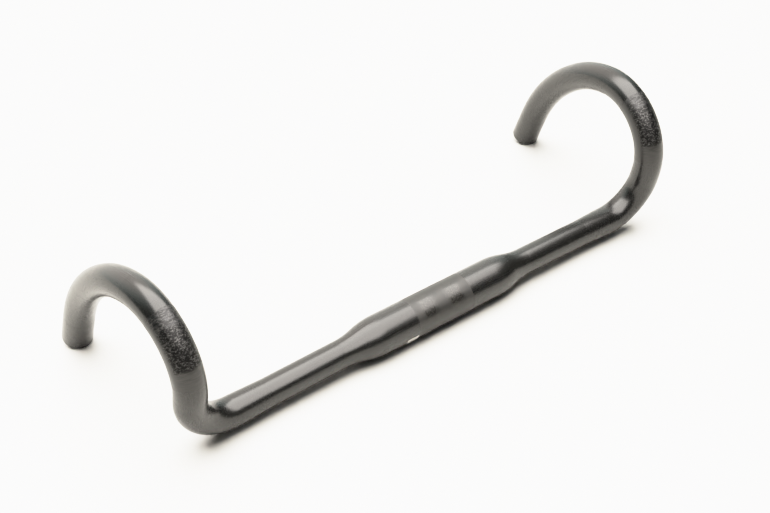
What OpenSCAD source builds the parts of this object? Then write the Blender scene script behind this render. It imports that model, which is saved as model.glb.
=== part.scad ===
// Bare drop handlebar: a tops moulding, two drop mouldings and what is bonded in and coated on.
// Origin: centre of the clamp zone. +X: rider's right, +Y: down into the drops, +Z: forward reach.
// The bar lies on its clamp zone and both drop ends, hooks up, as on a table.

/* [Clamp zone] */
// Diameter where the stem clamps
clamp_d = 31.8; // [28:0.1:35]
// Length of the straight clamp zone
clamp_len = 110; // [90:1:130]
// Wall of the tops moulding in the clamp zone
clamp_wall = 2.4; // [2:0.1:3.5]
// Length of each taper from the clamp zone to a grip
taper_len = 36; // [24:1:50]

/* [Grips] */
// Diameter of the grips, the thin straight stretches of the tops
grip_d = 21.8; // [20:0.1:24]
// Wall of the tops moulding in the grips
grip_wall = 2.2; // [1.9:0.1:3]
// Length of each grip, from the sweep bend to the seam with the drop
grip_len = 58; // [45:1:80]
// Angle by which each grip sweeps back to the rider
sweep_angle = 1; // [0.5:0.5:6]
// Radius of the sweep bend
sweep_r = 300; // [150:10:400]

/* [Drops] */
// Diameter of the drops, where the levers clamp
drop_d = 23.8; // [22:0.1:25]
// Wall of the drop mouldings
drop_wall = 1.9; // [1.6:0.1:2.4]
// Length of the cone that widens from the grip to the drop
cone_len = 28; // [22:1:40]
// Radius of the corner bend
corner_r = 34.5; // [28:0.5:45]
// Length of the straight riser between the corner and the hook
riser_len = 7; // [2:1:20]
// Lean of the riser away from the drop side
riser_lean = 10.5; // [0:0.5:20]
// Angle by which the hooks flare outward
flare_angle = 4.5; // [0:0.5:16]
// Radius of the hook's upper bend
hook_r = 49; // [40:1:60]
// Turn of the hook's upper bend
hook_turn = 108.5; // [90:0.5:115]
// Radius of the hook's middle bend
palm_r = 90; // [70:1:110]
// Turn of the hook's middle bend
palm_turn = 24; // [15:0.5:30]
// Radius of the hook's lower bend
tail_r = 139; // [110:1:180]
// Turn of the hook's lower bend
tail_turn = 37; // [25:0.5:40]
// Length of the straight end stretch, which a bar-end plug fills
end_len = 30; // [20:1:80]
// Chamfer on the rim of each drop end
rim_chamfer = 0.6; // [0.2:0.1:1]

/* [Bonded joints] */
// Length of each joint sleeve, half in the tops and half in the drop
sleeve_len = 36; // [24:1:40]
// Wall of the joint sleeves
sleeve_wall = 1.6; // [1:0.1:2]
// Wall that the tops keep around a joint sleeve
socket_wall = 1.7; // [1.5:0.1:2]
// Length of the sleeve inside the clamp zone
core_len = 70; // [50:1:84]
// Wall of the sleeve inside the clamp zone
core_wall = 1.8; // [1:0.1:3]
// Gap for the adhesive film around each sleeve
bond_gap = 0.1; // [0.05:0.05:0.2]

/* [Grip coats and mark] */
// Depth of the friction coats and of the mark, which lie flush
coat_t = 0.15; // [0.1:0.05:0.3]
// Length of the friction coat where the stem clamps
clamp_coat_len = 53; // [40:1:70]
// Turn along the hook before the lever coat starts
lever_coat_from = 16; // [5:1:30]
// Turn along the hook that the lever coat covers
lever_coat_turn = 58.5; // [30:0.5:70]
// Length of the setting mark beside the clamp coat
mark_len = 10.5; // [5:0.5:15]
// Distance of the mark from the clamp coat
mark_gap = 1; // [0.5:0.5:5]
// Angle of the mark's upper edge around the bar, from +Z towards -Y
mark_from = 105; // [60:1:120]
// Angle around the bar that the mark covers
mark_wrap = 24; // [5:1:40]

/* [Hidden] */
$fn = 96;
// How far a cutter runs past what it cuts
over = 1;
// Every second stretch of a rod is thinner by step_in and runs on by lap into its neighbours,
// so that no two round faces coincide and the stretches join into one true solid
step_in = 0.03;
lap = 0.5;
// Straight last bit of the cones, in which the corner's lap stays
cone_land = 1;
carbon = "#45443f";
raw_carbon = "#2b2b2a";
coat_grey = "#5a5955";
mark_white = "#e9e8e4";

clamp_r = clamp_d / 2;
grip_r = grip_d / 2;
drop_r = drop_d / 2;
core_seat_r = clamp_r - clamp_wall;
grip_bore_r = grip_r - grip_wall;
socket_r = grip_r - socket_wall;
drop_bore_r = drop_r - drop_wall;
half_sleeve = sleeve_len / 2;
cone_top = cone_len - cone_land;

// A station on the bar: [place, direction of travel, side that the next bend turns to].
// A step is ["run", length] or ["bend", radius, turn].
function next(s, step) =
    step[0] == "run"
    ? [s[0] + step[1] * s[1], s[1], s[2]]
    : [
        s[0] + step[1] * (sin(step[2]) * s[1] + (1 - cos(step[2])) * s[2]),
        cos(step[2]) * s[1] + sin(step[2]) * s[2],
        cos(step[2]) * s[2] - sin(step[2]) * s[1]
    ];
function walk(s, steps, i = 0) =
    i == len(steps) ? [s] : concat([s], walk(next(s, steps[i]), steps, i + 1));
function last(list) = list[len(list) - 1];
function unit(v) = v / norm(v);

// The right half of the bar, from the middle to the seam, and on to the drop end
taper_end = clamp_len / 2 + taper_len;
grip_start = [[taper_end, 0, 0], [1, 0, 0], [0, 0, -1]];
grip_steps = [["bend", sweep_r, sweep_angle], ["run", grip_len]];
seam = last(walk(grip_start, grip_steps));
corner_start = next(seam, ["run", cone_len]);

// The hook's plane holds the forward axis and the drop axis, which the flare turns outward
forward = [0, 0, 1];
dropward = [sin(flare_angle), cos(flare_angle), 0];
riser_dir = cos(riser_lean) * forward - sin(riser_lean) * dropward;
corner_turn = acos(corner_start[1] * riser_dir);
corner_side = unit(riser_dir - cos(corner_turn) * corner_start[1]);
corner_base = [corner_start[0], corner_start[1], corner_side];
corner_steps = [["bend", corner_r, corner_turn]];
corner_end = next(corner_base, corner_steps[0]);
hook_side = cos(riser_lean) * dropward + sin(riser_lean) * forward;
riser_start = [corner_end[0], riser_dir, hook_side];
hook_steps = [
    ["run", riser_len],
    ["bend", hook_r, hook_turn],
    ["bend", palm_r, palm_turn],
    ["bend", tail_r, tail_turn]
];
drop_steps = concat(hook_steps, [["run", end_len]]);
drop_bore_steps = concat(hook_steps, [["run", end_len + over]]);
hook_start = next(riser_start, drop_steps[0]);
coat_start = next(hook_start, ["bend", hook_r, lever_coat_from]);
rim = last(walk(riser_start, drop_steps));

// Puts children, drawn along +Z with their bend turning to +X, at a station
module at(s) {
    c = cross(s[1], s[2]);
    multmatrix([
        [s[2][0], c[0], s[1][0], s[0][0]],
        [s[2][1], c[1], s[1][1], s[0][1]],
        [s[2][2], c[2], s[1][2], s[0][2]]
    ])
        children();
}

// One straight or bent stretch of a round rod, which runs on by extra at both ends
module stretch(step, r, extra) {
    if (step[0] == "run")
        translate([0, 0, -extra])
            cylinder(r = r, h = step[1] + 2 * extra);
    else {
        extra_turn = extra / step[1] * 180 / PI;
        translate([step[1], 0, 0])
            rotate([90, 0, 180])
                rotate_extrude(start = -extra_turn, angle = step[2] + 2 * extra_turn)
                    translate([step[1], 0])
                        circle(r = r);
    }
}

// A round rod through a row of steps, of which those with the parity of thin are the thin ones
module rod(start, steps, r, thin) {
    stations = walk(start, steps);
    for (i = [0 : len(steps) - 1])
        at(stations[i])
            if (i % 2 == thin)
                stretch(steps[i], r - step_in, lap);
            else
                stretch(steps[i], r, 0);
}

// Turns a profile about the bar's axis: its x is the radius and its y lies along the bar,
// and a part turn starts at +Z and goes towards -Y
module about_bar(turn = 360)
    rotate([0, -90, 180])
        rotate_extrude(angle = turn)
            children();

module mirrored(side)
    mirror([side == "left" ? 1 : 0, 0, 0])
        children();

// Half profile of the clamp zone and its taper, which is two tangent arcs of equal radius
module bulge_profile(big_r, small_r) {
    step_down = big_r - small_r;
    arc_r = (taper_len * taper_len + step_down * step_down) / (4 * step_down);
    shoulder = clamp_len / 2;
    half_taper = taper_len / 2;
    square([big_r, shoulder]);
    intersection() {
        translate([big_r - arc_r, shoulder])
            circle(r = arc_r);
        translate([0, shoulder])
            square([big_r, half_taper]);
    }
    difference() {
        translate([0, shoulder + half_taper])
            square([big_r, half_taper]);
        translate([small_r + arc_r, taper_end])
            circle(r = arc_r);
    }
}

// A solid that follows half of the tops, as its outside or as its bore
module tops_half(big_r, small_r) {
    about_bar()
        bulge_profile(big_r, small_r);
    rod(grip_start, grip_steps, small_r, 0);
}

module tops() {
    color(carbon)
        difference() {
            for (side = ["left", "right"])
                mirrored(side)
                    tops_half(clamp_r, grip_r);
            for (side = ["left", "right"])
                mirrored(side) {
                    tops_half(core_seat_r, grip_bore_r);
                    // socket for the joint sleeve
                    at(seam)
                        translate([0, 0, -half_sleeve])
                            cylinder(r = socket_r, h = half_sleeve + over);
                }
            // relief that the clamp coat and the mark fill
            clamp_coat_ring(over);
            mark_patch(over);
        }
}

// Turns the end of a drop that meets the seam about its axis: a widening outline and a straight bit
module joint_end(outline)
    at(seam)
        rotate_extrude()
            polygon(concat(outline, [[0, cone_len]]));

// The cone, the corner, the riser and the hook, hollow from the joint to the open end
module drop(side) {
    color(carbon)
        mirrored(side)
            difference() {
                union() {
                    joint_end([[0, 0], [grip_r, 0], [drop_r, cone_top], [drop_r, cone_len]]);
                    rod(corner_base, corner_steps, drop_r, 0);
                    rod(riser_start, drop_steps, drop_r, 1);
                }
                // joint socket, then the bore opens out to the drop's own
                joint_end([
                    [0, -over], [socket_r, -over], [socket_r, half_sleeve],
                    [drop_bore_r, cone_top], [drop_bore_r, cone_len]
                ]);
                rod(corner_base, corner_steps, drop_bore_r, 0);
                rod(riser_start, drop_bore_steps, drop_bore_r, 1);
                at(rim)
                    chamfer_cut();
                lever_coat_ring(over);
            }
}

// Takes the outer edge off the rim of a drop end
module chamfer_cut()
    rotate_extrude()
        polygon([
            [drop_r - rim_chamfer - over, over],
            [drop_r + over, over],
            [drop_r + over, -rim_chamfer - over]
        ]);

// A straight tube bonded across the seam between the tops and a drop
module joint_sleeve(side) {
    outer_r = socket_r - bond_gap;
    color(raw_carbon)
        mirrored(side)
            at(seam)
                translate([0, 0, -half_sleeve])
                    difference() {
                        cylinder(r = outer_r, h = sleeve_len);
                        translate([0, 0, -over])
                            cylinder(r = outer_r - sleeve_wall, h = sleeve_len + 2 * over);
                    }
}

// The reinforcement that keeps the stem from crushing the clamp zone
module clamp_core() {
    outer_r = core_seat_r - bond_gap;
    color(raw_carbon)
        about_bar()
            translate([outer_r - core_wall, -core_len / 2])
                square([core_wall, core_len]);
}

// Friction coat on the clamp zone; proud runs past the surface, for cutting its relief
module clamp_coat_ring(proud)
    about_bar()
        translate([clamp_r - coat_t, -clamp_coat_len / 2])
            square([coat_t + proud, clamp_coat_len]);

// Friction coat on the right hook, where a lever clamps
module lever_coat_ring(proud)
    at(coat_start)
        translate([hook_r, 0, 0])
            rotate([90, 0, 180])
                rotate_extrude(angle = lever_coat_turn)
                    translate([hook_r, 0])
                        difference() {
                            circle(r = drop_r + proud);
                            circle(r = drop_r - coat_t);
                        }

// Light mark by the clamp coat, for setting the bar's angle in the stem
module mark_patch(proud)
    rotate([mark_from, 0, 0])
        about_bar(mark_wrap)
            translate([clamp_r - coat_t, -clamp_coat_len / 2 - mark_gap - mark_len])
                square([coat_t + proud, mark_len]);

module clamp_coat()
    color(coat_grey)
        clamp_coat_ring(0);

module lever_coat(side)
    color(coat_grey)
        mirrored(side)
            lever_coat_ring(0);

module setting_mark()
    color(mark_white)
        mark_patch(0);

tops();
drop("left");  // left_drop
drop("right");  // right_drop
joint_sleeve("left");  // left_joint_sleeve
joint_sleeve("right");  // right_joint_sleeve
clamp_core();
clamp_coat();
lever_coat("left");  // left_lever_coat
lever_coat("right");  // right_lever_coat
setting_mark();
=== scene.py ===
"""Bare drop handlebar on a white table: finishes, table, studio and camera over the CAD frame.

Axes as in the CAD model: +X to the rider's right, +Y down into the drops, +Z up from the table.
Lengths are in metres, but places on the bar and pattern sizes are in millimetres.
"""

import math

import bmesh
import bpy
from mathutils import Matrix, Vector
from mathutils.bvhtree import BVHTree


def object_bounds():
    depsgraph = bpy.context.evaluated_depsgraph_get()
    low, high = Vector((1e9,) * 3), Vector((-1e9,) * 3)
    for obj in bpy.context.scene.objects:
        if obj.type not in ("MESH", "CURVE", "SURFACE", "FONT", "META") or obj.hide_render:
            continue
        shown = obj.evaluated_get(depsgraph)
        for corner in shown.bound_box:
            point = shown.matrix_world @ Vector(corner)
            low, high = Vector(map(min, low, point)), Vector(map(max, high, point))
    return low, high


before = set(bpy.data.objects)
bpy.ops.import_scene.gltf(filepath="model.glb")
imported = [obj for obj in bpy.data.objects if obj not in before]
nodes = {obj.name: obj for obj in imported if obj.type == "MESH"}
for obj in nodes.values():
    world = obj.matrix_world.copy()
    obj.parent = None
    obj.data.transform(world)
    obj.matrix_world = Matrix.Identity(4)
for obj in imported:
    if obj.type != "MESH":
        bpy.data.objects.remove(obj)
cad_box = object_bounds()

MM = 0.001

# ---------------------------------------------------------------- camera and image points

PHOTO_W, PHOTO_H = 770, 513
LONG_SIDE = max(PHOTO_W, PHOTO_H)
CAMERA_PLACE = Vector((-0.48464, -0.57168, 0.64470))
CAMERA_AIM = Vector((-0.01616, 0.04204, 0.02965))
CAMERA_LENS = 60.0
SENSOR_WIDTH = 36.0
CAMERA_RANGE = (0.05, 30.0)
# A ray that misses its piece is searched from here, in so many steps of this length
RAY_FROM, RAY_STEP, RAY_STEPS = 0.3, 0.002, 600

# The only pixel coordinates of the photograph. None stands for the direction that isn't measured.
POINTS = {
    "bar_left": (61.3, None),
    "bar_right": (663.4, None),
    "bar_top": (None, 62.0),
    "bar_bottom": (None, 433.5),
    "left_hook_top": (None, 262.5),
    "left_end_rim_low": (79.0, 349.4),
    "right_end_rim_low": (528.0, 145.4),
    "setting_mark": (412.5, 340.5),
    "clamp_coat_left_edge": (413.0, 310.0),
    "clamp_coat_right_edge": (470.0, 283.0),
    "left_grit_field": (428.1, 304.5),
    "right_grit_field": (453.6, 291.6),
    "left_lever_coat": (175.2, 349.0),
    "right_lever_coat": (641.6, 127.6),
}


def add_camera():
    data = bpy.data.cameras.new("camera")
    data.sensor_fit = "AUTO"
    data.sensor_width = SENSOR_WIDTH
    data.lens = CAMERA_LENS
    data.clip_start, data.clip_end = CAMERA_RANGE
    camera = bpy.data.objects.new("camera", data)
    camera.location = CAMERA_PLACE
    camera.rotation_mode = "QUATERNION"
    camera.rotation_quaternion = (CAMERA_AIM - CAMERA_PLACE).to_track_quat("-Z", "Y")
    bpy.context.scene.collection.objects.link(camera)
    bpy.context.scene.camera = camera
    bpy.context.view_layer.update()
    return camera


camera = add_camera()


def surface_of(node_names):
    """One search tree over the finished meshes of these nodes."""
    corners, faces = [], []
    for name in node_names:
        mesh = nodes[name].data
        start = len(corners)
        corners += [nodes[name].matrix_world @ v.co for v in mesh.vertices]
        faces += [[start + i for i in face.vertices] for face in mesh.polygons]
    return BVHTree.FromPolygons(corners, faces)


def place_at(point, surface):
    """Where the ray through an image point meets the surface, or the place nearest to the ray."""
    shift_x, shift_y = camera.data.shift_x, camera.data.shift_y
    ray = Vector(
        (
            point[0] - PHOTO_W / 2 + shift_x * LONG_SIDE,
            PHOTO_H / 2 - point[1] + shift_y * LONG_SIDE,
            -LONG_SIDE * camera.data.lens / camera.data.sensor_width,
        )
    )
    direction = (camera.matrix_world.to_3x3() @ ray).normalized()
    place = surface.ray_cast(CAMERA_PLACE, direction)[0]
    if place is None:
        steps = [CAMERA_PLACE + direction * (RAY_FROM + RAY_STEP * i) for i in range(RAY_STEPS)]
        place = min((surface.find_nearest(s) for s in steps), key=lambda found: found[3])[0]
    return place


def seen_at(place):
    """Image x and y of a place, in the photograph's frame."""
    local = camera.matrix_world.inverted() @ place
    scale = -LONG_SIDE * camera.data.lens / camera.data.sensor_width / local.z
    return (
        PHOTO_W / 2 + local.x * scale - camera.data.shift_x * LONG_SIDE,
        PHOTO_H / 2 - local.y * scale + camera.data.shift_y * LONG_SIDE,
    )


# ---------------------------------------------------------------- places on the bar

# The hook's bend in the CAD model, on the right, in mm: its radius, middle and start, and the
# direction of travel at its start
HOOK_RADIUS = 49.0
HOOK_MIDDLE = Vector((220.99, 40.29, 48.65))
HOOK_START = Vector((217.211, -7.740, 39.722))
HOOK_TRAVEL = Vector((-0.0143, -0.1817, 0.9833))
# Along the hook from its start: where the lever coat's ribs begin, where its grit begins, and as
# far as its black ground is solid
RIBS_FROM, GRIT_FROM, BLACK_TO = 13.7, 26.5, 54.0
# Distance from the hook's middle at which its front, which has the grit and the ribs, begins
FRONT_FROM = 54.0
# Half the length of a grit field on the clamp coat, and the angles in degrees from the top towards
# the front between which it fades in and out
FIELD_HALF = 6.7
FIELD_ANGLES = ((-6, 24), (92, 58))

# ---------------------------------------------------------------- materials

LACQUER_IOR = 1.5
# Settings that many nodes share. TIMES_PLUS gives input 0 times input 1 plus input 2, and a seeded
# noise takes its seed as W.
TIMES, LESS, LARGER = ({"operation": name} for name in ("MULTIPLY", "SUBTRACT", "MAXIMUM"))
SIZE_ONLY, TURN_OF = {"operation": "ABSOLUTE"}, {"operation": "ARCTAN2"}
TIMES_PLUS = {"operation": "MULTIPLY_ADD"}
EASED = {"interpolation_type": "SMOOTHSTEP"}
SEEDED = {"noise_dimensions": "4D"}
OF_COLOURS = {"data_type": "RGBA"}
# Sockets that go by number: those of a Map Range, and the two colours of a colour Mix
VALUE, FROM, TO, LOW, HIGH = range(5)
COLOUR_A, COLOUR_B = 6, 7
# A noise keeps mostly between these values, so they stretch it over the whole of 0 to 1
NOISE_LOW, NOISE_HIGH = 0.35, 0.65

# Carbon tows are 1.1 mm wide, and the laminate lies a little deeper in clouds of 16 mm
TOW_LENGTH, TOW_WIDTH = 15.4, 1.1
CLOUD_LENGTH, CLOUD_WIDTH = 32, 16
# The lacquer's tooth is really some 0.05 mm across, and drawn ten times as coarse so that it shows.
# The clamp coat's is a little coarser.
LACQUER_TOOTH, COAT_TOOTH = 0.5, 0.6
# Spacing of the friction grit. The real grit is 0.2 to 0.4 mm: the clamp coat's is drawn a little
# coarser, and the lever coats' some three times as coarse, so that it shows.
CLAMP_GRIT, LEVER_GRIT = 0.5, 1.0
# Size along and round the bar of the noise whose crests are the lever coats' ribs, which come out
# about 1.8 mm apart
RIB_ALONG, RIB_ROUND = 0.8, 7.2
# Notches in the ragged edges of the clamp coat's fields and of the lever coats' grit, along and
# round the bar, and clouds where the clamp coat's spray lies thicker
CLAMP_NOTCH, LEVER_NOTCH = (2.5, 3.75), (2, 4)
SPRAY_CLOUD = 7
# Size of the ink's thin places, of the prepreg's fibres, and the scale of a wave texture at which
# the prepreg's tape comes out about 7 mm wide
INK_THIN = 0.8
FIBRE_ALONG, FIBRE_ROUND = 0.6, 4.8
TAPE_SCALE = 0.05


def linear(hex_colour):
    """An sRGB hex colour as the linear RGBA that the shader takes."""
    channels = [int(hex_colour[i : i + 2], 16) / 255 for i in (1, 3, 5)]
    return [c / 12.92 if c <= 0.04045 else ((c + 0.055) / 1.055) ** 2.4 for c in channels] + [1.0]


def add_node(tree, kind, settings={}, inputs={}):
    """One node. Settings are its own fields; inputs are values, hex colours, or the nodes or
    sockets they come from, where a node stands for its first output in use."""
    node = tree.nodes.new("ShaderNode" + kind)
    for field, value in settings.items():
        setattr(node, field, value)
    for socket, value in inputs.items():
        if isinstance(value, bpy.types.Node):
            value = next(output for output in value.outputs if output.enabled)
        if isinstance(value, bpy.types.NodeSocket):
            tree.links.new(value, node.inputs[socket])
        else:
            node.inputs[socket].default_value = linear(value) if isinstance(value, str) else value
    return node


def new_material(name):
    """A material with an empty tree."""
    material = bpy.data.materials.new(name)
    material.use_nodes = True
    material.node_tree.nodes.clear()
    return material, material.node_tree


def straight_along_top(tree):
    """Coordinates in mm with x along the tops, which run straight along the CAD model's X."""
    place = add_node(tree, "TexCoord").outputs["Object"]
    return add_node(tree, "Mapping", {}, {"Vector": place, "Scale": (1 / MM,) * 3})


def straight_along_hook(tree, side):
    """Coordinates in mm with x along the hook's bend, as if it were unrolled, y and z across it."""
    mirror = Vector((side, 1, 1))
    outward = ((HOOK_START - HOOK_MIDDLE) * mirror).normalized()
    travel = (HOOK_TRAVEL * mirror).normalized()
    turn = Matrix((outward, travel, outward.cross(travel)))
    middle = -(turn @ (HOOK_MIDDLE * mirror))
    place = add_node(tree, "TexCoord").outputs["Object"]
    turned = {"Rotation": turn.to_euler("XYZ"), "Location": middle, "Scale": (1 / MM,) * 3}
    in_mm = add_node(tree, "Mapping", {}, {"Vector": place, **turned})
    axes = add_node(tree, "SeparateXYZ", {}, {"Vector": in_mm})
    angle = add_node(tree, "Math", TURN_OF, {0: axes.outputs["Y"], 1: axes.outputs["X"]})
    along = add_node(tree, "Math", TIMES, {0: angle, 1: HOOK_RADIUS})
    in_plane = add_node(tree, "CombineXYZ", {}, {"X": axes.outputs["X"], "Y": axes.outputs["Y"]})
    reach = add_node(tree, "VectorMath", {"operation": "LENGTH"}, {0: in_plane}).outputs["Value"]
    return add_node(tree, "CombineXYZ", {}, {"X": along, "Y": reach, "Z": axes.outputs["Z"]})


def grit_lines(tree, place, size, width, wrap, seed):
    """Short raised lines of friction grit that run round the bar: 1 on a line and 0 between. They
    lie about size apart, drawn out round the bar by wrap, and width goes with their thickness."""
    wrapped = (1 / size, 1 / (size * wrap), 1 / (size * wrap))
    across = add_node(tree, "VectorMath", TIMES, {0: place, 1: wrapped})
    line_field = {"Vector": across, "W": seed, "Scale": 1.0, "Detail": 1.0}
    field = add_node(tree, "TexNoise", SEEDED, line_field)
    # A line runs where the noise passes its middle value, and is full in the inner quarter
    middle, inner = 0.5, 0.25 * width
    off_middle = add_node(tree, "Math", LESS, {0: field, 1: middle})
    distance = add_node(tree, "Math", SIZE_ONLY, {0: off_middle})
    lines = add_node(tree, "MapRange", EASED, {VALUE: distance, FROM: width, TO: inner})
    # Gaps a little wider than the lines' spacing break them into short pieces
    gap, gap_seed = 1.1 * size, seed + 7
    gapped = (1 / gap, 0.625 / gap, 0.625 / gap)
    breaks = add_node(tree, "VectorMath", TIMES, {0: place, 1: gapped})
    gap_field = {"Vector": breaks, "W": gap_seed, "Scale": 1.0, "Detail": 1.0}
    broken = add_node(tree, "TexNoise", SEEDED, gap_field)
    kept = add_node(tree, "MapRange", EASED, {VALUE: broken, FROM: 0.40, TO: 0.56})
    return add_node(tree, "Math", TIMES, {0: lines, 1: kept})


def satin_carbon(name, side=None):
    """Black carbon laminate under satin lacquer. Nearly all the light comes off the lacquer: its
    fine tooth spreads each lamp into a broad soft band, and faint tows show along the bar. A side
    of -1 or 1 is for the left or the right drop."""
    material, tree = new_material(name)
    place = straight_along_top(tree) if side is None else straight_along_hook(tree, side)
    drawn_out = (1 / TOW_LENGTH, 1 / TOW_WIDTH, 1 / TOW_WIDTH)
    strands = add_node(tree, "VectorMath", TIMES, {0: place, 1: drawn_out})
    tow_field = {"Vector": strands, "W": 0.0, "Scale": 1.0, "Detail": 2.0}
    tows = add_node(tree, "TexNoise", SEEDED, tow_field)
    broad = (1 / CLOUD_LENGTH, 1 / CLOUD_WIDTH, 1 / CLOUD_WIDTH)
    wide = add_node(tree, "VectorMath", TIMES, {0: place, 1: broad})
    cloud_field = {"Vector": wide, "W": 5.0, "Scale": 1.0, "Detail": 2.0}
    clouds = add_node(tree, "TexNoise", SEEDED, cloud_field)
    tooth_field = {"Vector": place, "W": 3.0, "Scale": 1 / LACQUER_TOOTH, "Detail": 3.0}
    tooth = add_node(tree, "TexNoise", SEEDED, tooth_field)
    shade = add_node(tree, "Mix", {}, {"Factor": 0.5, "A": tows, "B": clouds})
    stretched = {VALUE: shade, FROM: NOISE_LOW, TO: NOISE_HIGH}
    share = add_node(tree, "MapRange", EASED, stretched)
    carbon = {"Factor": share, COLOUR_A: "#0a0909", COLOUR_B: "#12110f"}
    colour = add_node(tree, "Mix", OF_COLOURS, carbon)
    smooth = add_node(tree, "MapRange", EASED, {**stretched, LOW: 0.26, HIGH: 0.235})
    rough = add_node(tree, "Math", TIMES_PLUS, {0: tooth, 1: 0.04, 2: smooth})
    raised = {"Strength": 0.08, "Distance": 0.05 * MM, "Height": tooth}
    bump = add_node(tree, "Bump", {}, raised)
    look = {"Base Color": colour, "Roughness": rough, "IOR": LACQUER_IOR, "Normal": bump}
    add_node(tree, "OutputMaterial", {}, {"Surface": add_node(tree, "BsdfPrincipled", {}, look)})
    return material


def clamp_friction_coat(field_middles):
    """Matte clear coat with fine grit, sprayed on the clamp zone so that the stem doesn't slip. It
    washes out the reflections, but for two fields at the top front where light grit lies on the
    satin carbon."""
    material, tree = new_material("matte_friction_coat_on_clamp")
    place = straight_along_top(tree)
    axes = add_node(tree, "SeparateXYZ", {}, {"Vector": place})
    notches = (1 / CLAMP_NOTCH[0], 1 / CLAMP_NOTCH[1], 1 / CLAMP_NOTCH[1])
    uneven = add_node(tree, "VectorMath", TIMES, {0: place, 1: notches})
    edge_field = {"Vector": uneven, "W": 2.0, "Scale": 1.0, "Detail": 2.0}
    ragged = add_node(tree, "TexNoise", SEEDED, edge_field)
    # Raggedness in mm along the bar and in degrees round it. The noise adds about half of it to the
    # distance from a field's middle, so a field fades out that much farther away.
    raggedness, turn_raggedness = 6.0, 16.0
    faded, full = FIELD_HALF + 6.5, FIELD_HALF - 0.5
    fields = 0.0
    for middle in field_middles:
        beside = add_node(tree, "Math", LESS, {0: axes.outputs["X"], 1: middle})
        off = add_node(tree, "Math", SIZE_ONLY, {0: beside})
        edge = add_node(tree, "Math", TIMES_PLUS, {0: ragged, 1: raggedness, 2: off})
        inside = add_node(tree, "MapRange", EASED, {VALUE: edge, FROM: faded, TO: full})
        fields = add_node(tree, "Math", LARGER, {0: fields, 1: inside})
    # Angle in degrees from the top towards the front, where the fields lie
    front = add_node(tree, "Math", TIMES, {0: axes.outputs["Y"], 1: -180 / math.pi})
    up = add_node(tree, "Math", TIMES, {0: axes.outputs["Z"], 1: 180 / math.pi})
    turn = add_node(tree, "Math", TURN_OF, {0: front, 1: up})
    turned = add_node(tree, "Math", {"operation": "DEGREES"}, {0: turn})
    waver = add_node(tree, "Math", TIMES_PLUS, {0: ragged, 1: turn_raggedness, 2: turned})
    for outside, within in FIELD_ANGLES:
        window = add_node(tree, "MapRange", EASED, {VALUE: waver, FROM: outside, TO: within})
        fields = add_node(tree, "Math", TIMES, {0: fields, 1: window})
    lines = grit_lines(tree, place, size=CLAMP_GRIT, width=0.045, wrap=1.0, seed=12.0)
    grit = add_node(tree, "Math", TIMES, {0: lines, 1: fields})
    tooth_field = {"Vector": place, "W": 3.0, "Scale": 1 / COAT_TOOTH, "Detail": 3.0}
    tooth = add_node(tree, "TexNoise", SEEDED, tooth_field)
    cloud_field = {"Vector": place, "W": 8.0, "Scale": 1 / SPRAY_CLOUD, "Detail": 2.0}
    clouds = add_node(tree, "TexNoise", SEEDED, cloud_field)
    stretched = {VALUE: clouds, FROM: NOISE_LOW, TO: NOISE_HIGH}
    share = add_node(tree, "MapRange", EASED, stretched)
    spray = {"Factor": share, COLOUR_A: "#121110", COLOUR_B: "#1c1a18"}
    coat = add_node(tree, "Mix", OF_COLOURS, spray)
    speckled = {"Factor": grit, COLOUR_A: coat, COLOUR_B: "#403e3b"}
    colour = add_node(tree, "Mix", OF_COLOURS, speckled)
    ground_range = {VALUE: fields, FROM: 0.0, TO: 1.0, LOW: 0.46, HIGH: 0.26}
    ground = add_node(tree, "MapRange", EASED, ground_range)
    rough = add_node(tree, "Math", TIMES_PLUS, {0: grit, 1: 0.05, 2: ground})
    height = add_node(tree, "Math", TIMES_PLUS, {0: grit, 1: 0.3, 2: tooth})
    raised = {"Strength": 0.2, "Distance": 0.08 * MM, "Height": height}
    bump = add_node(tree, "Bump", {}, raised)
    look = {"Base Color": colour, "Roughness": rough, "IOR": LACQUER_IOR, "Normal": bump}
    add_node(tree, "OutputMaterial", {}, {"Surface": add_node(tree, "BsdfPrincipled", {}, look)})
    return material


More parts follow.
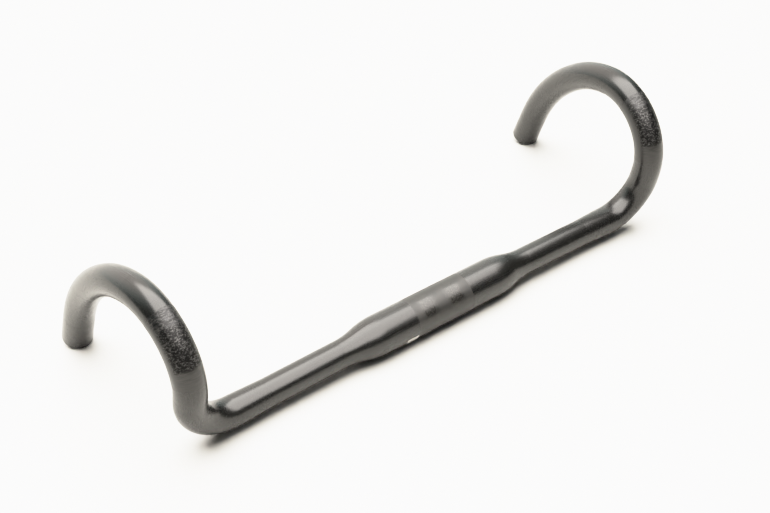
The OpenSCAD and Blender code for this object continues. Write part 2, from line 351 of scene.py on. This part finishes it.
def lever_friction_coat(name, side):
    """Black grit coat on the hook where a lever clamps. Its fine lighter lines run round the bar,
    and below them faint ribs fade into the satin carbon."""
    material, tree = new_material(name)
    place = straight_along_hook(tree, side)
    axes = add_node(tree, "SeparateXYZ", {}, {"Vector": place})
    along = axes.outputs["X"]
    notches = (1 / LEVER_NOTCH[0], 1 / LEVER_NOTCH[1], 1 / LEVER_NOTCH[1])
    uneven = add_node(tree, "VectorMath", TIMES, {0: place, 1: notches})
    edge_field = {"Vector": uneven, "W": 2.0, "Scale": 1.0, "Detail": 2.0}
    ragged = add_node(tree, "TexNoise", SEEDED, edge_field)
    # Raggedness in mm along the hook and towards its front, and where each edge begins and ends
    # its fading
    raggedness, front_raggedness = 3.0, 4.0
    grit_begins, grit_is_full = GRIT_FROM + 0.2, GRIT_FROM + 3.2
    front_begins, front_is_full = FRONT_FROM, FRONT_FROM + 3.5
    black_thins, black_is_thin = BLACK_TO - 3.0, BLACK_TO + 4.0
    wandering = add_node(tree, "Math", TIMES_PLUS, {0: ragged, 1: raggedness, 2: along})
    grit_edge = {VALUE: wandering, FROM: grit_begins, TO: grit_is_full}
    above = add_node(tree, "MapRange", EASED, grit_edge)
    # Grit and ribs are on the hook's front alone
    reach = {0: ragged, 1: front_raggedness, 2: axes.outputs["Y"]}
    uneven_reach = add_node(tree, "Math", TIMES_PLUS, reach)
    front_edge = {VALUE: uneven_reach, FROM: front_begins, TO: front_is_full}
    in_front = add_node(tree, "MapRange", EASED, front_edge)
    field = add_node(tree, "Math", TIMES, {0: above, 1: in_front})
    lines = grit_lines(tree, place, size=LEVER_GRIT, width=0.08, wrap=2.2, seed=side + 20.0)
    grit = add_node(tree, "Math", TIMES, {0: lines, 1: field})
    # The ribs get stronger towards the grit
    ring_sizes = (1 / RIB_ALONG, 1 / RIB_ROUND, 1 / RIB_ROUND)
    ringed = add_node(tree, "VectorMath", TIMES, {0: place, 1: ring_sizes})
    ring_field = {"Vector": ringed, "W": side + 30.0, "Scale": 1.0, "Detail": 1.0}
    rings = add_node(tree, "TexNoise", SEEDED, ring_field)
    crests = add_node(tree, "MapRange", EASED, {VALUE: rings, FROM: 0.42, TO: 0.62})
    up_to_grit = {VALUE: along, FROM: RIBS_FROM, TO: GRIT_FROM}
    towards_grit = add_node(tree, "MapRange", EASED, up_to_grit)
    strength = add_node(tree, "MapRange", EASED, {**up_to_grit, LOW: 0.2, HIGH: 1.0})
    all_ribs = add_node(tree, "Math", TIMES, {0: crests, 1: strength})
    ribs = add_node(tree, "Math", TIMES, {0: all_ribs, 1: in_front})
    faint = add_node(tree, "Math", TIMES, {0: ribs, 1: 0.6})
    darker = {"Factor": towards_grit, COLOUR_A: "#110f0e", COLOUR_B: "#0a0908"}
    darkening = add_node(tree, "Mix", OF_COLOURS, darker)
    ribbed = {"Factor": faint, COLOUR_A: darkening, COLOUR_B: "#2a2826"}
    below = add_node(tree, "Mix", OF_COLOURS, ribbed)
    # The black thins out towards the top of the hook, where satin carbon shows between the ribs
    thinning = {VALUE: wandering, FROM: black_thins, TO: black_is_thin}
    thin = add_node(tree, "MapRange", EASED, thinning)
    grounds = {"Factor": thin, COLOUR_A: "#1d1d1d", COLOUR_B: "#2a2a2a"}
    ground = add_node(tree, "Mix", OF_COLOURS, grounds)
    rib_lights = {"Factor": thin, COLOUR_A: "#242424", COLOUR_B: "#3b3b3c"}
    rib_light = add_node(tree, "Mix", OF_COLOURS, rib_lights)
    blacks = {"Factor": ribs, COLOUR_A: ground, COLOUR_B: rib_light}
    black = add_node(tree, "Mix", OF_COLOURS, blacks)
    base = add_node(tree, "Mix", OF_COLOURS, {"Factor": field, COLOUR_A: below, COLOUR_B: black})
    gritted = {"Factor": grit, COLOUR_A: base, COLOUR_B: "#2f2e2e"}
    colour = add_node(tree, "Mix", OF_COLOURS, gritted)
    # The black ground gives back less light than lacquer does: a dark mirror colour stands for that
    between = add_node(tree, "Math", LESS, {0: field, 1: grit})
    ground_share = add_node(tree, "Math", LARGER, {0: between, 1: 0.0})
    tooth_field = {"Vector": place, "W": 3.0, "Scale": 1 / LACQUER_TOOTH, "Detail": 3.0}
    tooth = add_node(tree, "TexNoise", SEEDED, tooth_field)
    flat_range = {VALUE: field, FROM: 0.0, TO: 1.0, LOW: 0.29, HIGH: 0.36}
    flat = add_node(tree, "MapRange", EASED, flat_range)
    gritty = add_node(tree, "Math", TIMES_PLUS, {0: grit, 1: 0.07, 2: flat})
    rough = add_node(tree, "Math", TIMES_PLUS, {0: tooth, 1: 0.05, 2: gritty})
    height = add_node(tree, "Math", TIMES_PLUS, {0: ribs, 1: 0.4, 2: grit})
    raised = {"Strength": 0.3, "Distance": 0.08 * MM, "Height": height}
    bump = add_node(tree, "Bump", {}, raised)
    look = {"Base Color": colour, "Roughness": rough, "IOR": LACQUER_IOR, "Normal": bump}
    look["Metallic"] = ground_share
    add_node(tree, "OutputMaterial", {}, {"Surface": add_node(tree, "BsdfPrincipled", {}, look)})
    return material


def printed_mark_ink():
    """White pad-printed ink under satin lacquer: a little thin in places, so some grey shows."""
    material, tree = new_material("white_pad_printed_ink")
    place = straight_along_top(tree)
    film_field = {"Vector": place, "W": 4.0, "Scale": 1 / INK_THIN, "Detail": 3.0}
    film = add_node(tree, "TexNoise", SEEDED, film_field)
    full = add_node(tree, "MapRange", EASED, {VALUE: film, FROM: 0.25, TO: 0.5})
    ink = {"Factor": full, COLOUR_A: "#a9a7a2", COLOUR_B: "#c4c2bd"}
    colour = add_node(tree, "Mix", OF_COLOURS, ink)
    look = {"Base Color": colour, "Roughness": 0.38, "IOR": LACQUER_IOR}
    add_node(tree, "OutputMaterial", {}, {"Surface": add_node(tree, "BsdfPrincipled", {}, look)})
    return material


def wound_carbon():
    """Bare carbon prepreg cured inside the bar: matte charcoal with the wrap marks of its tape."""
    material, tree = new_material("bare_wound_carbon_prepreg")
    place = straight_along_top(tree)
    # The tape is wrapped at a slant
    slant = {"wave_type": "BANDS", "bands_direction": "DIAGONAL"}
    wrap_field = {"Vector": place, "Scale": TAPE_SCALE, "Distortion": 1.5, "Detail": 2.0}
    wraps = add_node(tree, "TexWave", slant, wrap_field)
    drawn_out = (1 / FIBRE_ALONG, 1 / FIBRE_ROUND, 1 / FIBRE_ROUND)
    fine = add_node(tree, "VectorMath", TIMES, {0: place, 1: drawn_out})
    fibre_field = {"Vector": fine, "W": 6.0, "Scale": 1.0, "Detail": 2.0}
    fibres = add_node(tree, "TexNoise", SEEDED, fibre_field)
    shade = add_node(tree, "Mix", {}, {"Factor": 0.5, "A": wraps.outputs["Fac"], "B": fibres})
    low, high = 0.3, 0.7
    share = add_node(tree, "MapRange", EASED, {VALUE: shade, FROM: low, TO: high})
    charcoal = {"Factor": share, COLOUR_A: "#1c1c1d", COLOUR_B: "#313132"}
    colour = add_node(tree, "Mix", OF_COLOURS, charcoal)
    roughness = {VALUE: fibres, FROM: low, TO: high, LOW: 0.42, HIGH: 0.58}
    rough = add_node(tree, "MapRange", EASED, roughness)
    raised = {"Strength": 0.3, "Distance": 0.1 * MM, "Height": shade}
    bump = add_node(tree, "Bump", {}, raised)
    look = {"Base Color": colour, "Roughness": rough, "IOR": LACQUER_IOR, "Normal": bump}
    add_node(tree, "OutputMaterial", {}, {"Surface": add_node(tree, "BsdfPrincipled", {}, look)})
    return material


def give(node_name, material):
    """Puts a material on every slot of a CAD node."""
    for slot in nodes[node_name].material_slots:
        slot.material = material


clamp_surface = surface_of(["clamp_coat"])
grit_fields = {
    name: place_at(POINTS[name], clamp_surface).x / MM
    for name in ("left_grit_field", "right_grit_field")
}

give("tops", satin_carbon("satin_lacquered_carbon_tops"))
for side_name, side in (("left", -1), ("right", 1)):
    drop_finish = satin_carbon("satin_lacquered_carbon_" + side_name + "_drop", side)
    give(side_name + "_drop", drop_finish)
    give(side_name + "_lever_coat", lever_friction_coat("black_friction_coat_" + side_name, side))
give("clamp_coat", clamp_friction_coat(grit_fields.values()))
give("setting_mark", printed_mark_ink())
inside_finish = wound_carbon()
for name in ("clamp_core", "left_joint_sleeve", "right_joint_sleeve"):
    give(name, inside_finish)

# ---------------------------------------------------------------- table and studio

TABLE_SIZE = 12.0
table_z = cad_box[0].z


def add_table():
    """The flat white table that the bar lies on, which belongs to the stage."""
    bm = bmesh.new()
    bmesh.ops.create_grid(bm, x_segments=1, y_segments=1, size=TABLE_SIZE / 2)
    mesh = bpy.data.meshes.new("table")
    bm.to_mesh(mesh)
    bm.free()
    table = bpy.data.objects.new("table", mesh)
    table.location.z = table_z
    bpy.context.scene.collection.objects.link(table)
    material, tree = new_material("white_laminate_table")
    look = {"Base Color": "#f5f4f4", "Roughness": 0.5, "Specular IOR Level": 0.3}
    add_node(tree, "OutputMaterial", {}, {"Surface": add_node(tree, "BsdfPrincipled", {}, look)})
    mesh.materials.append(material)


# The studio: one wide softbox above table and camera, a white wall behind the table, and a dim
# room. Directions and places are in the CAD frame, and turns, tilts and angles in degrees.
SOFTBOX_MIDDLE = (0.005, -0.215, 0.61)
SOFTBOX_SIZE = (0.93, 1.15)
SOFTBOX_TURN = -19.0
SOFTBOX_RADIANCE = 10.0
SOFTBOX_COLOUR = "#fff9f3"
# The direction of the wall's middle, and how squarely a direction faces it where it begins and
# where it is full
WALL_SIDE = (0.04, 0.83, 0.55)
WALL_FADE = (0.3, 1.05)
ROOM_RADIANCE, WALL_RADIANCE = 0.08, 3.6
ROOM_COLOUR, WALL_COLOUR = "#dcfaf6", "#fff7ee"
# Past the table's edge a low camera sees plain white, about as bright as the table, as on a
# paper sweep
SWEEP_COLOUR, SWEEP_RADIANCE = "#ffffff", 2.6
# An even light from above, as wide as the ceiling, which the bar doesn't mirror
TABLE_LIGHT_ANGLE = 70.0
TABLE_LIGHT_STRENGTH = 9.6
TABLE_LIGHT_TILT = 14.0
TABLE_LIGHT_COLOUR = "#fffaee"
# The film: the radiance where its shoulder begins, the one where it ends, the white that it ends
# at, and the radiances at which the curve has a point
SHOULDER, FILM_RANGE, TABLE_WHITE = 0.55, 4.0, 0.968
SHOULDER_STEPS = (0.55, 0.7, 0.85, 1.0, 1.2, 1.4, 1.7, 2.0, 2.5, 3.0)


def add_softbox():
    """The large diffuser that makes the broad soft band on every upper face."""
    data = bpy.data.lights.new("overhead_softbox", "AREA")
    data.shape = "RECTANGLE"
    data.color = linear(SOFTBOX_COLOUR)[:3]
    data.size, data.size_y = SOFTBOX_SIZE
    data.energy = SOFTBOX_RADIANCE * math.pi * SOFTBOX_SIZE[0] * SOFTBOX_SIZE[1]
    light = bpy.data.objects.new("overhead_softbox", data)
    light.location = SOFTBOX_MIDDLE
    light.rotation_euler.z = math.radians(SOFTBOX_TURN)
    light.visible_diffuse = False
    light.visible_camera = False
    bpy.context.scene.collection.objects.link(light)


def add_table_light():
    """The even white of the table, with a soft shadow under the bar."""
    data = bpy.data.lights.new("table_light", "SUN")
    data.angle = math.radians(TABLE_LIGHT_ANGLE)
    data.energy = TABLE_LIGHT_STRENGTH
    data.color = linear(TABLE_LIGHT_COLOUR)[:3]
    light = bpy.data.objects.new("table_light", data)
    light.visible_glossy = False
    light.rotation_euler.x = math.radians(-TABLE_LIGHT_TILT)
    bpy.context.scene.collection.objects.link(light)


def add_surroundings():
    """The white wall behind the table, which fades on all sides into the dim room."""
    world = bpy.data.worlds.new("studio")
    bpy.context.scene.world = world
    world.use_nodes = True
    tree = world.node_tree
    tree.nodes.clear()
    direction = add_node(tree, "TexCoord").outputs["Generated"]
    squarely = {"operation": "DOT_PRODUCT"}
    facing = add_node(tree, "VectorMath", squarely, {0: direction, 1: WALL_SIDE}).outputs["Value"]
    fade = {VALUE: facing, FROM: WALL_FADE[0], TO: WALL_FADE[1]}
    share = add_node(tree, "MapRange", EASED, fade)
    colours = {"Factor": share, COLOUR_A: ROOM_COLOUR, COLOUR_B: WALL_COLOUR}
    colour = add_node(tree, "Mix", OF_COLOURS, colours)
    radiances = {"Factor": share, "A": ROOM_RADIANCE, "B": WALL_RADIANCE}
    radiance = add_node(tree, "Mix", {}, radiances)
    studio = add_node(tree, "Background", {}, {"Color": colour, "Strength": radiance})
    plain_white = {"Color": SWEEP_COLOUR, "Strength": SWEEP_RADIANCE}
    sweep = add_node(tree, "Background", {}, plain_white)
    straight = add_node(tree, "LightPath").outputs["Is Camera Ray"]
    either = add_node(tree, "MixShader", {}, {0: straight, 1: studio, 2: sweep})
    add_node(tree, "OutputWorld", {}, {"Surface": either})
    world.cycles_visibility.diffuse = False


def set_film():
    """The camera's response: true up to SHOULDER, then eased, so that the overexposed table ends
    just under pure white and the bar's soft shadow still shows on it."""
    settings = bpy.context.scene.view_settings
    settings.view_transform = "Standard"
    settings.use_curve_mapping = True
    mapping = settings.curve_mapping
    mapping.extend = "HORIZONTAL"
    mapping.white_level = (FILM_RANGE,) * 3
    # After one curve each for red, green and blue comes the one for all three
    all_three = mapping.curves[3]
    rise = TABLE_WHITE - SHOULDER
    all_three.points[-1].location = (1.0, TABLE_WHITE)
    for radiance in SHOULDER_STEPS:
        value = TABLE_WHITE - rise * math.exp((SHOULDER - radiance) / rise)
        all_three.points.new(radiance / FILM_RANGE, value)
    for point in all_three.points:
        point.handle_type = "VECTOR"
    mapping.update()


add_table()
add_softbox()
add_table_light()
add_surroundings()
set_film()

# ---------------------------------------------------------------- offsets from the image points and end

# A vertex counts as seen when its ray meets nothing so much nearer than it
SEEN_WITHIN = 0.4 * MM
# The end rims lie this near the table and this far down into the drops, and the clamp coat's edge
# is this thin
RIM_HEIGHT, RIM_FROM = 12 * MM, 100 * MM
EDGE_WIDTH = 0.01 * MM


def corners_in_view(node_name):
    """The node's vertices that the camera sees, each with its image point."""
    found = []
    for vertex in nodes[node_name].data.vertices:
        place = nodes[node_name].matrix_world @ vertex.co
        distance = (place - CAMERA_PLACE).length
        hit = whole_bar.ray_cast(CAMERA_PLACE, (place - CAMERA_PLACE).normalized())
        if hit[0] is None or hit[3] > distance - SEEN_WITHIN:
            found.append((place, seen_at(place)))
    return found


def record_points():
    """Works out how far in x and y each thing shows from its image point, and keeps nothing."""
    seen = {name: corners_in_view(name) for name in nodes}
    outline = [at for name in ("tops", "left_drop", "right_drop") for _, at in seen[name]]
    marks = {
        "bar_left": (min(x for x, _ in outline), None),
        "bar_right": (max(x for x, _ in outline), None),
        "bar_top": (None, min(y for _, y in outline)),
        "bar_bottom": (None, max(y for _, y in outline)),
        "left_hook_top": (None, min(y for _, (_, y) in seen["left_drop"])),
    }
    # Of each end rim, the corner that shows lowest
    for side_name in ("left", "right"):
        rim = [
            at
            for place, at in seen[side_name + "_drop"]
            if place.z < table_z + RIM_HEIGHT and place.y > RIM_FROM
        ]
        marks[side_name + "_end_rim_low"] = max(rim, key=lambda at: at[1])
    # The middle of what shows
    for name in ("setting_mark", "left_lever_coat", "right_lever_coat"):
        across = [x for _, (x, _) in seen[name]]
        down = [y for _, (_, y) in seen[name]]
        marks[name] = ((min(across) + max(across)) / 2, (min(down) + max(down)) / 2)
    # Of each edge of the clamp coat, the corner nearest to its point
    for name, end in (("clamp_coat_left_edge", min), ("clamp_coat_right_edge", max)):
        edge_x = end(place.x for place, _ in seen["clamp_coat"])
        edge = [at for place, at in seen["clamp_coat"] if abs(place.x - edge_x) < EDGE_WIDTH]
        marks[name] = min(edge, key=lambda at: math.dist(at, POINTS[name]))
    for name, x in grit_fields.items():
        middle = place_at(POINTS[name], clamp_surface)
        marks[name] = seen_at(Vector((x * MM, middle.y, middle.z)))
    for name, point in POINTS.items():
        pairs = zip(marks[name], point)
        [None if wanted is None else round(at - wanted, 2) for at, wanted in pairs]


whole_bar = surface_of(list(nodes))
record_points()
